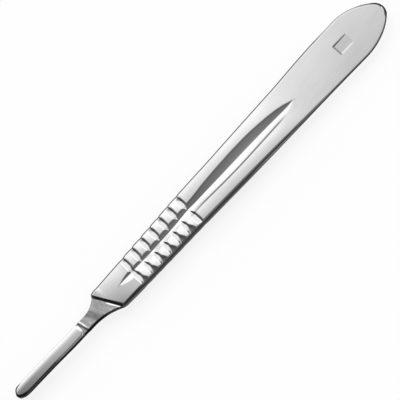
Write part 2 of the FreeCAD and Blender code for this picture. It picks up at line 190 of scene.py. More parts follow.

# brightness of the side walls against the share of the way down: painted shade, with lighter lines that are
# painted reflections
SLOT_SIDE = ((0, 0.12, 0.26, 0.34, 0.5, 1), (0.2, 0.05, 0.04, 0.3, 0.02, 0.01))
REAR_SIDE = ((0, 0.3, 0.5, 1), (0.5, 0.26, 0.02, 0.01))
NECK_SIDE = ((0, 0.3, 1), (0.05, 0.02, 0.01))
PAD_SIDE = ((0, 0.15, 0.45, 0.66, 1), (0.1, 0.03, 0.05, 0.25, 0.12))
GRIP_SIDE = ((0, 0.1, 0.22, 0.4, 0.57, 0.75, 1), (0.45, 0.2, 0.1, 0.06, 0.1, 0.24, 0.18))
TAPER_SIDE = ((0, 0.22, 0.36, 0.6, 0.8, 1), (0.3, 0.06, 0.07, 0.36, 0.22, 0.14))
TAIL_SIDE = ((0, 0.25, 0.5, 0.7, 1), (0.36, 0.21, 0.14, 0.06, 0.04))
END_SIDE = ((0, 0.25, 0.5, 0.7, 1), (0.198, 0.1155, 0.077, 0.033, 0.022))
UPPER_SIDE = ((0, 0.3, 1), (0.11, 0.08, 0.05))

# along the lower wall: the brightness that takes over, and the stretch where it does
FRONT_CHANGES = ((REAR_SIDE, SLOT_END - 1, SLOT_END + 3), (NECK_SIDE, KEY_REAR - 1, KEY_REAR + 0.2))
BODY_CHANGES = ((GRIP_SIDE, PAD_END - 1, PAD_END + 3), (TAPER_SIDE, 79, 88), (TAIL_SIDE, 93, 104),
                (END_SIDE, 106, 116))
BODY_SIDE_START = SHOULDER_PLACE - 2
# the upper wall's painted shade is lightened before the round end, as a painted highlight, and all walls get
# more painted shade at the round end
UPPER_WALL_HIGHLIGHT, UPPER_WALL_HIGHLIGHT_WINDOW = 5.0, (116.0, 121.0, 129.0, 132.0)
END_WALL_SHADE, END_WALL_SHADE_START, END_WALL_SHADE_FULL = 0.75, LENGTH - 3, LENGTH - 0.5

# how much of a rounded edge counts as wall: between these shares of the way round it
LOWER_RIM, UPPER_RIM, KEY_RIM = (0.1, 0.5), (0.05, 0.3), (0.6, 0.95)

# stretches at both ends where the whole edge counts as wall
TIP_EDGE, END_EDGE = (3.5, 1.5), (LENGTH - 2.5, LENGTH - 1)

# brightness of the faces along the handle: painted shade, darker towards the key's tip and the tail, and a
# painted highlight on the key's upper side
KEY_TONE = ((0, 8.6, 13.6, 22.4, 23.4), (0.42, 0.66, 0.8, 0.97, 1.0))
KEY_UPPER_HIGHLIGHT, KEY_UPPER_START, KEY_UPPER_FULL = 1.05, -0.3, 1.2
BODY_TONE = ((58, 66, 92, 104, 120, 135), (1, 1.05, 1.04, 0.91, 0.875, 0.865))

# painted shade along the groove's two edges and in front of the ridge: where its middle is, width and
# strength
RIGHT_CREASE_SHADE_PLACE, RIGHT_CREASE_SHADE_WIDTH, RIGHT_CREASE_SHADE = -0.06, 0.36, 0.88
RIGHT_CREASE_SHADE_WINDOW = (60.0, 69.0, 94.0, 99.0)
LEFT_CREASE_SHADE_PLACE, LEFT_CREASE_SHADE_WIDTH, LEFT_CREASE_SHADE = -0.22, 0.35, 0.3
RIDGE_FOOT_SHADE_PLACE, RIDGE_FOOT_SHADE_WIDTH, RIDGE_FOOT_SHADE = RIDGE_PLACE - 0.38, 0.32, 0.85
RIDGE_FOOT_SHADE_SPREAD, FOOT_SPREAD_END = 0.25, -1.4

# a darker band across the neck and a painted highlight along the shoulder's foot
NECK_BAND, NECK_BAND_DARKENING = (26.6, 27.4, 28.6, 29.4), 0.42
SEAT_LINE_PLACE, SEAT_LINE_WIDTH, SEAT_LINE_HIGHLIGHT = SHOULDER_PLACE - 0.2, 0.35, 0.35
SEAT_LINE_TOP, SEAT_LINE_FULL = 1.0, -1.0

# painted shade on the notches' flanks and fans, and a painted highlight on the ribs between them
STEEP_FLANK_SHADE, LONG_FLANK_SHADE, FAN_SHADE = 0.6, 0.15, 0.5
RIB_HIGHLIGHT, LOWER_RIB_SHARE = 0.14, 0.8
CUT_FULL = 0.08
FLANK_TONE, STEEP_TONE = (1.1, 0.95), (0.0, 0.12)
FAN_FLANK_TONE, FAN_EDGE_TONE = (0.9, 0.5), (0.1, 0.7)

# painted shade on the stamp's front and upper walls, and a darker stamp floor
STAMP_WALL_SHADE, STAMP_FLOOR_DARKENING, STAMP_SHADE_SHIFT = 0.7, 0.1, 0.1
STAMP_FRONT_SHADE, STAMP_FRONT_SHADE_WIDTH, STAMP_UPPER_SHADE_WIDTH = 1.2, 0.24, 0.18

# materials
# the shoulder's near-black colour is painted shade
SATIN_COLOR, GROUND_COLOR, SHOULDER_SHADE_COLOR = (0.77, 0.77, 0.775), (0.56, 0.56, 0.565), (0.05, 0.05, 0.052)
SCRATCH_ANGLE = math.radians(24)
SIDE_GRAZING_SHADE, SIDE_DULLING = 0.5, 0.15
FLOOR_SIZE, FLOOR_COLOR, FLOOR_GLOW = 20, (0.35, 0.35, 0.35, 1), 0.8
WHITE = (1, 1, 1, 1)

# the studio light: brightness against how far a direction points towards the light, and near the horizon
LIGHT_STRENGTH = 1.3
LIGHT_SIDE = (0.4, 0.75, 0.0)
LIGHT = ((-0.28, -0.06, 0.0, 0.08, 0.15, 0.232, 0.305, 0.35, 0.39, 0.43),
         (0.13, 0.16, 0.24, 0.28, 0.34, 0.47, 0.6, 0.74, 0.96, 1.0))
BACK_SIDE, BACK_START, BACK_FULL, BACK_VALUE = (0.71, -0.7, 0.0), 0.72, 0.92, 0.6
HORIZON_HEIGHT, HORIZON_SHARE = 0.5, 0.45

# the camera, and where the handle's middle lies in the square picture
CAMERA_LEAN, CAMERA_TURN = math.radians(24), math.radians(47.2)
CAMERA_DISTANCE, CAMERA_NEAR = 0.7, 0.01
SENSOR_WIDTH = 36
PICTURE_PIXELS, PIXELS_PER_MM = 400, 3.963
CENTRE_PIXEL = (199.8, 200.8)


def smooth_step(start, end, x):
    """0 before start, 1 past end and a smooth rise between them."""
    t = np.clip((x - start) / (end - start), 0, 1)
    return t * t * (3 - 2 * t)


def window(places, x):
    """Rises smoothly from 0 to 1 between the first two places and falls again between the last two."""
    start, full, fading, end = places
    return smooth_step(start, full, x) * smooth_step(end, fading, x)


def inside(x, start, end):
    """Whether x lies between two places."""
    return (x > start) & (x < end)


def blend(a, b, share):
    """A mix of a and b that has the given share of b."""
    return a + (b - a) * share


def soft_min(a, b, width):
    """The lower of two heights, with the corner between them rounded off."""
    share = np.clip(0.5 + 0.5 * (b - a) / width, 0, 1)
    return blend(b, a, share) - width * share * (1 - share)


def line_share(distance, width):
    """1 on a line and 0 further from it than its width."""
    return np.clip(1 - np.abs(distance) / width, 0, 1)


def arc_through(points):
    """Centre and radius of the circle through three points."""
    (x1, y1), (x2, y2), (x3, y3) = points
    rows = np.array([[x2 - x1, y2 - y1], [x3 - x1, y3 - y1]])
    sums = np.array([x2**2 - x1**2 + y2**2 - y1**2, x3**2 - x1**2 + y3**2 - y1**2]) / 2
    centre = np.linalg.solve(rows, sums)
    return centre, math.dist(centre, (x1, y1))


def smooth_curve(curve, x):
    """A smooth curve through the given values that doesn't overshoot between them."""
    places, values = np.array(curve, float)
    steps = np.diff(places)
    slopes = np.diff(values) / steps
    tangents = np.zeros(len(values))
    for i in range(1, len(values) - 1):
        before, after = slopes[i - 1], slopes[i]
        if before * after > 0:
            tangents[i] = 2 * before * after / (before + after)
    x = np.clip(x, places[0], places[-1])
    i = np.clip(np.searchsorted(places, x, side="right") - 1, 0, len(steps) - 1)
    t = (x - places[i]) / steps[i]
    lift = t * (1 - t) * ((1 - t) * tangents[i] - t * tangents[i + 1]) * steps[i]
    return blend(values[i], values[i + 1], t * t * (3 - 2 * t)) + lift


def rounded_end(inward, reach, nose, half):
    """Half width at a distance in from an end that is a nose between two flanks."""
    flank = (reach**2 - 2 * reach * nose + half**2) / (2 * (half - nose))
    meeting = reach - flank * (reach - nose) / (flank - nose)
    inward = np.clip(inward, 0, reach)
    nose_part = np.sqrt(np.clip(nose**2 - (inward - nose) ** 2, 0, None))
    flank_part = half - flank + np.sqrt(flank**2 - (reach - inward) ** 2)
    return np.where(inward < meeting, nose_part, flank_part)


def flared_neck(x, corner):
    """Half width of the key and the neck, which widens on an arc up to the shoulder's corner."""
    run, rise = corner - FLARE_START, HALF_SHOULDER - HALF_NECK_WIDTH
    radius = (run**2 + rise**2) / (2 * rise)
    reach = np.clip(x - FLARE_START, 0, run)
    tip = rounded_end(x, TIP_LENGTH, TIP_NOSE_RADIUS, HALF_NECK_WIDTH)
    return tip + radius - np.sqrt(radius**2 - reach**2)


def half_width(x, side):
    """Half the handle's width at x, on the upper (side 1) or the lower (side -1) half of the plan."""
    x = np.asarray(x, float)
    shift = UPPER_CORNER_SHIFT if side > 0 else LOWER_CORNER_SHIFT
    corner = SHOULDER_PLACE + shift - side * HALF_SHOULDER * SLANT
    waist = (WAIST_PLACE, HALF_WAIST)
    centre, radius = arc_through([(corner, HALF_SHOULDER), waist, (BELLY_PLACE, HALF_BELLY)])
    body = centre[1] - np.sqrt(radius**2 - (x - centre[0]) ** 2)
    width = np.where(x < corner, flared_neck(x, corner), body)
    if side > 0:
        swell = SWELL * np.maximum(window(FRONT_SWELL, x), window(REAR_SWELL, x))
        width = np.minimum(width + swell, HALF_BELLY)
    end = rounded_end(LENGTH - x, END_LENGTH, NOSE_RADIUS, HALF_BELLY)
    return np.where(x > BELLY_PLACE, end, width)


def slanted_place(x, y):
    """The place along the handle, measured along the shoulder's slant."""
    return x + y * SLANT


def face_level(x, y):
    """Height of the ground faces above the middle: neck, slanted shoulder, pad, grip, taper and tail."""
    run = SHOULDER_RUN - SHOULDER_SPREAD * y
    past_foot = slanted_place(x, y) - SHOULDER_PLACE
    wall = HALF_NECK + (HALF_PAD - HALF_NECK) * np.clip(past_foot / run, 0, 1)
    pad_length = PAD_END - SHOULDER_PLACE - run
    to_grip = np.clip((PAD_END - slanted_place(x, y)) / pad_length, 0, 1)
    pad = HALF_GRIP - (HALF_GRIP - HALF_PAD) * to_grip**PAD_RISE_POWER
    share = np.clip((x - TAPER_START) / (TAPER_END - TAPER_START), 0, 1)
    fall = np.where(share < 0.5, 2 * share**2, 1 - 2 * (1 - share) ** 2)
    taper = HALF_GRIP - (HALF_GRIP - HALF_TAIL) * fall
    return np.minimum(np.where(past_foot < run, wall, pad), taper)


def groove_edge(x, side):
    """Where the groove meets the face on its left (side 1) or right (side -1)."""
    return smooth_curve(GROOVE_LEFT if side > 0 else GROOVE_RIGHT, x)


def wall_slopes(x, side, half, depth):
    """Slopes of one of the groove's walls at its lowest line and at the face."""
    mean = np.arctan2(depth, half)
    right_share = blend(RIB_SLOPE_SHARE, RIGHT_SLOPE_SHARE, smooth_step(RIBS_END, RIBS_GONE, x))
    first = mean * (LEFT_SLOPE_SHARE if side > 0 else right_share)
    return first, np.clip(2 * mean - first, first + LEAST_BEND, STEEPEST_SLOPE)


def groove_wall(x, y, side):
    """Height of one wall of the groove, an arc that steepens towards the face."""
    middle = smooth_curve(GROOVE_MIDDLE, x)
    half = np.maximum(side * (groove_edge(x, side) - middle), NARROWEST_WALL)
    depth = smooth_curve(GROOVE_DEPTH, x)
    first, last = wall_slopes(x, side, half, depth)
    radius = half / (np.sin(last) - np.sin(first))
    off = np.maximum(side * (y - middle), 0)
    sine = np.clip(np.sin(first) + off / radius, None, LARGEST_SINE)
    rise = radius * (np.cos(first) - np.sqrt(1 - sine**2))
    return np.where(off > WALL_REACH * half, CLEAR, face_level(x, 0 * x) - depth + rise)


def groove_height(x, y):
    """Height of the groove's surface."""
    on_left = y > smooth_curve(GROOVE_MIDDLE, x)
    height = np.where(on_left, groove_wall(x, y, 1), groove_wall(x, y, -1))
    return np.where(inside(x, GROOVE_START, GROOVE_STOP), height, CLEAR)


def notch_number(x):
    """The number of the finger notch that is nearest to x."""
    return np.clip(np.round((x - NOTCH_FIRST) / NOTCH_PITCH), 0, NOTCH_COUNT - 1)


def fan_share(x, y):
    """How far a notch has drawn together towards the handle's lower edge. The last notch stays open."""
    return smooth_step(FAN_START, FAN_END, y) * (notch_number(x) < NOTCH_COUNT - 1)


def valley_shift(x, y):
    """How far a notch's valley strays from its place, backwards where positive."""
    upper, lower = window(UPPER_STRAY_WINDOW, y), window(LOWER_STRAY_WINDOW, y)
    return -UPPER_STRAY * upper - LOWER_STRAY * lower - FAN_STRAY * fan_share(x, y)


def flank_shares(x, y):
    """How far x is up the nearest notch's long or steep flank, and whether it is on the steep one."""
    shift, fan = valley_shift(x, y), fan_share(x, y)
    off = x - NOTCH_FIRST - notch_number(x) * NOTCH_PITCH - shift
    long_flank = LONG_FLANK + shift - FAN_SHORTENING * fan
    steep_flank = STEEP_FLANK - shift + FAN_SPREAD * fan
    return np.where(off < 0, -off / long_flank, off / steep_flank), off > 0


def notch_height(x, y, depth):
    """Height of the row of finger notches."""
    share, _ = flank_shares(x, y)
    rise = (np.hypot(share, VALLEY_ROUNDING) - VALLEY_ROUNDING) / VALLEY_RISE
    depth = depth * (1 - SHALLOW_SHARE * smooth_step(SHALLOW_START, SHALLOW_END, y))
    return np.where(share < FLANK_REACH, HALF_GRIP - depth + depth * rise, CLEAR)


def rib_crown(x):
    """How far the rounded top of a rib falls from its peak, which lies just behind a notch."""
    behind = np.mod(x - NOTCH_FIRST - RIB_PEAK, NOTCH_PITCH)
    behind = np.minimum(behind, RIB_LENGTH)
    fall = RIB_TILT * behind + behind**2 / (2 * RIB_CROWN)
    return np.where(inside(x, NOTCH_FIRST - LONG_FLANK, NOTCH_LAST + STEEP_FLANK), fall, 0)


def bands_crown(x, y):
    """How far the crowned bands beside the groove fall, and the flatter tail behind them."""
    left = (y - LEFT_LEVEL) ** 2 / (2 * LEFT_CROWN)
    right = (y - RIGHT_LEVEL) ** 2 / (2 * RIGHT_CROWN)
    double = np.where(y > smooth_curve(GROOVE_MIDDLE, x), left, right)
    single = y**2 / (2 * TAIL_CROWN)
    return blend(double, single, smooth_step(TAIL_CROWN_START, TAIL_CROWN_FULL, x))


def pad_crown(x, y):
    """How far the crowned pad behind the shoulder falls. Its lower half grows flat towards the grip."""
    crown = (y - PAD_LEVEL) ** 2 / (2 * PAD_CROWN)
    crown = crown * smooth_step(SHOULDER_PLACE, SHOULDER_PLACE + PAD_CROWN_RISE, x)
    flat = smooth_step(PAD_FLAT_START, PAD_FLAT_END, x) * (y < PAD_LEVEL)
    return crown * (1 - PAD_FLAT_SHARE * flat)


def groove_lip(x, y):
    """Height of the fine lip along the groove's right edge."""
    return LIP_HEIGHT * line_share(groove_edge(x, -1) - y, LIP_WIDTH) * window(LIP, x)


def grooved_face(x, y):
    """Height of one face of the body with its crowns and its groove."""
    on_grip = smooth_step(PAD_END, PAD_END + PAD_CROWN_FALL, x)
    crown = blend(pad_crown(x, y), bands_crown(x, y), on_grip)
    face = face_level(x, y) - crown + groove_lip(x, y) - rib_crown(x)
    return soft_min(face, groove_height(x, y), GROOVE_EDGE_BLEND)


def worked_face(x, y, notch_depth):
    """Height of one face of the body with its notches too."""
    return soft_min(grooved_face(x, y), notch_height(x, y, notch_depth), NOTCH_EDGE_BLEND)


def past_ridge(x, y):
    """Distance behind the crest of the small ridge, which has a slant of its own."""
    return x + y * RIDGE_SLANT - RIDGE_PLACE


def seat_details(x, y):
    """Height of the small ridge behind the key, less the relief cut along the shoulder's foot."""
    ridge = RIDGE_HEIGHT * np.exp(-((past_ridge(x, y) / RIDGE_WIDTH) ** 2))
    relief = RELIEF_DEPTH * window(RELIEF, slanted_place(x, y))
    return ridge - relief * smooth_step(RELIEF_TOP, RELIEF_FULL, y)


def key_rear(y):
    """Where the key ends behind, with its rounded corners."""
    past = np.clip(np.abs(y) - (HALF_NECK_WIDTH - KEY_CORNER), 0, KEY_CORNER_LIMIT)
    return KEY_REAR - KEY_CORNER + np.sqrt(KEY_CORNER**2 - past**2)


def key_droop(x):
    """How far the key's top falls towards its tip."""
    return KEY_DROOP * (1 - np.clip(x / KEY_DROOP_LENGTH, 0, 1)) ** 2


def key_height(x, y):
    """Height of the key's upper face, which falls a little towards the tip, the rear and both sides."""
    to_rear = np.clip(key_rear(y) - x, 0, KEY_FALL_LENGTH) / KEY_FALL_LENGTH
    fall = KEY_FALL * (1 - np.sqrt(1 - (1 - to_rear) ** 2))
    past = y - KEY_CROWN_PLACE
    crown = past**2 / (2 * np.where(past > 0, KEY_LEFT_CROWN, KEY_CROWN))
    return KEY_TOP - key_droop(x) - fall - crown


def stamp_share(x, y):
    """1 on the stamp's floor at its front and 0 outside it. The floor rises towards its rear."""
    to_rear = np.clip((STAMP_REAR - x) / STAMP_LENGTH, 0, 1) ** STAMP_FLOOR_POWER
    along = smooth_step(STAMP_FRONT, STAMP_FRONT + STAMP_FRONT_WALL, x) * to_rear
    upper, lower = STAMP_WIDTH / 2, -STAMP_WIDTH / 2
    across = smooth_step(upper, upper - STAMP_UPPER_WALL, y)
    return along * across * smooth_step(lower, lower + STAMP_LOWER_WALL, y)


def upper_height(x, y):
    """Height of the upper side of the whole handle."""
    height = worked_face(x, y, NOTCH_DEPTH) + seat_details(x, y)
    height = np.where(x < key_rear(y), key_height(x, y), height)
    return height - STAMP_DEPTH * stamp_share(x, y)


def lower_height(x, y):
    """Height of the lower side, which is turned over."""
    under_key = smooth_step(UNDERSIDE_END + UNDERSIDE_STEP, UNDERSIDE_END, x)
    return (HALF_NECK - UNDERSIDE_HALF) * under_key - worked_face(x, y, LOWER_NOTCH_DEPTH)


def stretches(last_end):
    """Where the stretches between the two rounded ends stop, each with the step between its loops."""
    return (
        (SLOT_END, 0.6),
        (SLOT_END + 0.02, 0.02),
        (KEY_REAR - 2.2, 0.6),
        (KEY_REAR - 0.1, 0.1),
        (KEY_REAR - 0.02, 0.04),
        (KEY_REAR + 0.02, 0.04),
        (KEY_REAR + 0.08, 0.06),
        (KEY_REAR + 2.2, 0.08),
        (SHOULDER_PLACE - 0.7, 0.3),
        (SHOULDER_PLACE + 1.1, 0.06),
        (NOTCH_FIRST - 1.6, 0.25),
        (NOTCH_LAST + 1.3, 0.086),
        (STAMP_FRONT - 0.2, 0.32),
        (STAMP_FRONT + 0.3, 0.04),
        (STAMP_REAR - 0.6, 0.3),
        (STAMP_REAR + 0.1, 0.08),
        (last_end, 0.3),
    )


def stations():
    """Places along the handle where the mesh has a loop, close together where the shape changes fast."""
    tip_turns = np.linspace(0, math.pi / 2, TIP_LOOPS, endpoint=False)
    end_turns = np.linspace(0, math.pi / 2, END_LOOPS)
    end = BELLY_PLACE + END_LENGTH * np.sin(end_turns)
    end = end[end > STAMP_REAR + 0.2]
    places = list(TIP_LENGTH * (1 - np.cos(tip_turns)))
    start = TIP_LENGTH
    for stop, step in stretches(end[0]):
        count = max(1, round((stop - start) / step))
        places += list(np.linspace(start, stop, count, endpoint=False))
        start = stop
    return np.array(places + list(end))


def loop_x(u, y):
    """The place along x of the point at y on the loop at u, which leans and bows with what it crosses."""
    bow = (key_rear(y) - KEY_REAR) * window(BOW, u)
    return u - y * SLANT * window(LEAN, u) + bow


def outline_point(u, side):
    """Where the loop at u meets the plan outline, and the outline's outward direction there."""
    y = side * half_width(u, side)
    for _ in range(OUTLINE_ROUNDS):
        x = loop_x(u, y)
        y = side * half_width(np.clip(x, 0, LENGTH), side)
    x = np.clip(loop_x(u, y), 0, LENGTH)
    step = 1e-3
    before, after = np.clip(x - step, 0, LENGTH), np.clip(x + step, 0, LENGTH)
    slope = (half_width(after, side) - half_width(before, side)) / (after - before)
    normal = np.stack([-slope, np.full_like(slope, side)], -1)
    normal[0] = (-1, 0)
    normal[-1] = (1, 0)
    normal /= np.linalg.norm(normal, axis=1)[:, None]
    return x, y, normal


def across_shares(land, left_wall, right_wall):
    """Rows across a face as (zone, share) for its left band, the groove's two walls and the right band."""
    rows = [(0, i / land) for i in range(land)]
    rows += [(1, i / left_wall) for i in range(left_wall)]
    rows += [(2, i / right_wall) for i in range(right_wall)]
    rows += [(3, (i / land) ** EDGE_CROWDING) for i in range(land + 1)]
    return rows


class Section:
    """The loops round the handle at the places u, as rows of (x, y, z) in millimetres."""

    def __init__(self, u):
        self.u = u
        self.edge = {side: outline_point(u, side) for side in (1, -1)}
        near_tip = smooth_step(TIP_LENGTH + TIP_REACH, TIP_LENGTH, u)
        near_end = smooth_step(BELLY_PLACE, BELLY_PLACE + END_REACH, u)
        self.at_end = np.maximum(near_tip, near_end)
        self.bevel = smooth_step(BEVEL_END, BEVEL_FULL, u)
        on_body = smooth_step(SHOULDER_PLACE, SHOULDER_PLACE + 1, u)
        left = np.where(u < KEY_REAR, KEY_LEFT_ROUNDING, NECK_ROUNDING)
        right = np.where(u < KEY_REAR, KEY_ROUNDING, NECK_ROUNDING)
        end_rounding = END_ROUNDING * smooth_step(END_ROUNDING_START, END_ROUNDING_FULL, u)
        self.radius = {1: blend(left, LEFT_ROUNDING, on_body),
                       -1: blend(right, RIGHT_ROUNDING, on_body) + end_rounding}
        self.bottom_radius = blend(NECK_ROUNDING, BOTTOM_ROUNDING, on_body)

    def inward(self, side, inset):
        """The point that lies the given distance inside the outline."""
        x, y, normal = self.edge[side]
        moved_y = y - inset * normal[:, 1]
        on_loop = loop_x(self.u, moved_y)
        off_outline = x - inset * normal[:, 0]
        return blend(on_loop, off_outline, self.at_end), moved_y

    def zone_edges(self, start_y, end_y):
        """Where a face's zones meet across the handle: its edges, the groove's edges and its lowest line."""
        left = np.minimum(groove_edge(self.u, 1), 0.5 * start_y)
        right = np.maximum(groove_edge(self.u, -1), 0.5 * end_y)
        middle = np.clip(smooth_curve(GROOVE_MIDDLE, self.u), right, left)
        return [start_y, left, middle, right, end_y]

    def face(self, insets, height, counts):
        """Rows of one face from its left edge to its right one."""
        start_x, start_y = self.inward(1, insets[1])
        end_x, end_y = self.inward(-1, insets[-1])
        start_off, end_off = start_x - loop_x(self.u, start_y), end_x - loop_x(self.u, end_y)
        width = start_y - end_y
        stops = self.zone_edges(start_y, end_y)
        rows = []
        for zone, share in across_shares(*counts):
            y = blend(stops[zone], stops[zone + 1], share)
            part = np.divide(start_y - y, width, out=np.zeros_like(y), where=width > 1e-9)
            x = loop_x(self.u, y) + blend(start_off, end_off, part)
            rows.append((x, y, height(x, y)))
        return rows

    def rim(self, side, height, inset, radius, steps, sign):
        """Points from the face's edge out to the side wall, round or bevelled."""
        level = height(*self.inward(side, inset))
        rows = []
        for t in np.arange(1, steps + 1) / steps:
            angle = t * math.pi / 2
            gone_in = inset * blend(1 - math.sin(angle), 1 - t, self.bevel)
            gone_down = blend(radius * (1 - math.cos(angle)), TIP_BEVEL * TIP_BEVEL_DROP * t, self.bevel)
            x, y = self.inward(side, gone_in)
            rows.append((x, y, level - sign * gone_down))
        return rows

    def wall(self, side, top, bottom):
        """Points down the side wall, which turn into the slot beside the key."""
        x, y = self.inward(side, 0 * self.u)
        core = side * np.minimum(np.abs(y), SLOT_CORE)
        slotted = self.u <= SLOT_END
        rows = []
        for k, level in enumerate((SLOT_ROOF, SLOT_ROOF, SLOT_FLOOR, SLOT_FLOOR, SLOT_SILL)):
            z = blend(top, bottom, (k + 1) / (WALL + 1))
            z = np.where(slotted, np.minimum(level - key_droop(self.u), top), z)
            in_slot = slotted & (k in (1, 2))
            rows.append((x, np.where(in_slot, core, y), z))
        return rows

    def side(self, side, top_inset, bottom_inset):
        """Rows from the upper face's edge down to the lower face's edge."""
        top = self.rim(side, upper_height, top_inset, self.radius[side], TOP_RIM, 1)
        bottom = self.rim(side, lower_height, bottom_inset, self.bottom_radius, BOTTOM_RIM, -1)
        return top + self.wall(side, top[-1][2], bottom[-1][2]) + bottom[::-1]

    def rows(self):
        """All rows once round the handle, as an array: loop, row, (x, y, z)."""
        tops = {side: blend(radius, TIP_BEVEL, self.bevel) for side, radius in self.radius.items()}
        bottom = self.bottom_radius + BOTTOM_BEVEL * self.bevel
        bottoms = {1: bottom, -1: bottom}
        rings = self.face(tops, upper_height, (LAND_ROWS, LEFT_WALL_ROWS, RIGHT_WALL_ROWS))
        rings += self.side(-1, tops[-1], bottom)
        rings += self.face(bottoms, lower_height, (LOWER_LAND_ROWS, LOWER_WALL_ROWS, LOWER_WALL_ROWS))[::-1]
        rings += self.side(1, tops[1], bottom)[::-1]
        return np.array(rings).transpose(2, 0, 1)


def side_share(u, count):
    """How far each point belongs to the side walls, whose colour carries painted shade: 0 on the faces and 1
    on the walls.
    """
    share = np.zeros((len(u), count))
    rim = (np.arange(TOP_RIM) + 1) / TOP_RIM
    near_ends = np.maximum(smooth_step(*TIP_EDGE, u), smooth_step(*END_EDGE, u))[:, None]
    depth = WALL + BOTTOM_RIM
    share[:, UPPER_ROWS:UPPER_ROWS + TOP_RIM] = np.maximum(smooth_step(*LOWER_RIM, rim)[None], near_ends)
    share[:, UPPER_ROWS + TOP_RIM:UPPER_ROWS + TOP_RIM + depth] = 1
    left = UPPER_ROWS + TOP_RIM + depth + LOWER_ROWS
    share[:, left:left + depth] = 1
    on_key = (u < KEY_REAR)[:, None]
    upper_rim = np.where(on_key, smooth_step(*KEY_RIM, rim)[None], smooth_step(*UPPER_RIM, rim)[None])
    share[:, left + depth:] = np.maximum(upper_rim, near_ends)[:, ::-1]
    return share


def changing_tone(first, changes, x, down):
    """Brightness that starts as one curve down the wall and changes into others along the handle."""
    tone = smooth_curve(first, down)
    for curve, start, end in changes:
        tone = blend(tone, smooth_curve(curve, down), smooth_step(start, end, x))
    return tone


def side_tone(points):
    """Brightness of the side walls: painted shade, with lighter lines along them that are painted
    reflections and darker ones that are more painted shade.
    """
    x, y, z = points.transpose(2, 0, 1)
    top, bottom = z.max(axis=1, keepdims=True), z.min(axis=1, keepdims=True)
    down = (top - z) / (top - bottom)
    front = changing_tone(SLOT_SIDE, FRONT_CHANGES, x, down)
    body = changing_tone(PAD_SIDE, BODY_CHANGES, x, down)
    lower = np.where(x < BODY_SIDE_START, front, body)
    upper = smooth_curve(UPPER_SIDE, down) * (1 + UPPER_WALL_HIGHLIGHT * window(UPPER_WALL_HIGHLIGHT_WINDOW, x))
    tone = np.where(y > 0, upper, lower)
    return tone * (1 - END_WALL_SHADE * smooth_step(END_WALL_SHADE_START, END_WALL_SHADE_FULL, x))


def base_tone(x, y):
    """Brightness of the plain faces: painted shade towards the key's tip and the tail, and a painted
    highlight on the key's upper side.
    """
    key = smooth_curve(KEY_TONE, x)
    key = blend(key, KEY_UPPER_HIGHLIGHT, smooth_step(KEY_UPPER_START, KEY_UPPER_FULL, y))
    return np.where(x < key_rear(y), key, smooth_curve(BODY_TONE, x))


def groove_tone(x, y):
    """Share of the brightness that is left along the groove's edges, where shade is painted."""
    right = line_share(y - groove_edge(x, -1) - RIGHT_CREASE_SHADE_PLACE, RIGHT_CREASE_SHADE_WIDTH)
    left = line_share(y - groove_edge(x, 1) - LEFT_CREASE_SHADE_PLACE, LEFT_CREASE_SHADE_WIDTH)
    tone = (1 - RIGHT_CREASE_SHADE * right * window(RIGHT_CREASE_SHADE_WINDOW, x)) * (1 - LEFT_CREASE_SHADE * left)
    return np.where(inside(x, GROOVE_START, GROOVE_STOP), tone, 1)


def notch_tone(x, y):
    """Share of the brightness in the row of notches, with painted shade on the steep flanks and fans and a
    painted highlight on the ribs.
    """
    share, on_steep = flank_shares(x, y)
    depth = grooved_face(x, y) - notch_height(x, y, NOTCH_DEPTH)
    past_valley = np.where(on_steep, smooth_step(*STEEP_TONE, share), 1)
    in_notch = smooth_step(0.0, CUT_FULL, depth) * smooth_step(*FLANK_TONE, share) * past_valley
    fan = smooth_step(*FAN_FLANK_TONE, share) * smooth_step(*FAN_EDGE_TONE, fan_share(x, y))
    notch_shade = np.where(on_steep, STEEP_FLANK_SHADE, LONG_FLANK_SHADE + FAN_SHADE * fan) * in_notch
    in_row = window((NOTCH_FIRST, NOTCH_FIRST + 1, NOTCH_LAST - 1, NOTCH_LAST + 1), x)
    rib_highlight = RIB_HIGHLIGHT * in_row * (1 - in_notch) * np.where(y > 0, 1, LOWER_RIB_SHARE)
    return (1 - notch_shade) * (1 + rib_highlight)


def neck_tone(x, y):
    """Share of the brightness on the neck: painted shade behind the key, a darker band, and a painted
    highlight at the seat.
    """
    slanted = slanted_place(x, y)
    foot_width = RIDGE_FOOT_SHADE_WIDTH + RIDGE_FOOT_SHADE_SPREAD * smooth_step(0, FOOT_SPREAD_END, y)
    foot = line_share(past_ridge(x, y) + RIDGE_PLACE - RIDGE_FOOT_SHADE_PLACE, foot_width)
    seat = line_share(slanted - SEAT_LINE_PLACE, SEAT_LINE_WIDTH) * (slanted < SHOULDER_PLACE)
    seat = seat * smooth_step(SEAT_LINE_TOP, SEAT_LINE_FULL, y)
    band = window(NECK_BAND, slanted)
    return (1 - RIDGE_FOOT_SHADE * foot) * (1 + SEAT_LINE_HIGHLIGHT * seat) * (1 - NECK_BAND_DARKENING * band)


def stamp_tone(x, y):
    """Share of the brightness in the stamp, with painted shade on its front and upper walls and a darker
    floor.
    """
    upper = STAMP_WIDTH / 2
    front_wall = line_share(x - STAMP_FRONT - STAMP_FRONT_WALL, STAMP_FRONT_SHADE_WIDTH) * (np.abs(y) < upper)
    upper_wall = line_share(y - upper + STAMP_SHADE_SHIFT, STAMP_UPPER_SHADE_WIDTH)
    walls = np.maximum(STAMP_FRONT_SHADE * front_wall, upper_wall)
    walls = walls * inside(x, STAMP_FRONT - STAMP_SHADE_SHIFT, STAMP_REAR)
    return (1 - STAMP_WALL_SHADE * walls) * (1 - STAMP_FLOOR_DARKENING * stamp_share(x, y))


def face_tone(points):
    """Brightness of the worked faces, with painted shade along the creases and painted highlights."""
    x, y = points[:, :, 0], points[:, :, 1]
    return base_tone(x, y) * groove_tone(x, y) * notch_tone(x, y) * neck_tone(x, y) * stamp_tone(x, y)


SATIN, GROUND, SHOULDER = range(3)


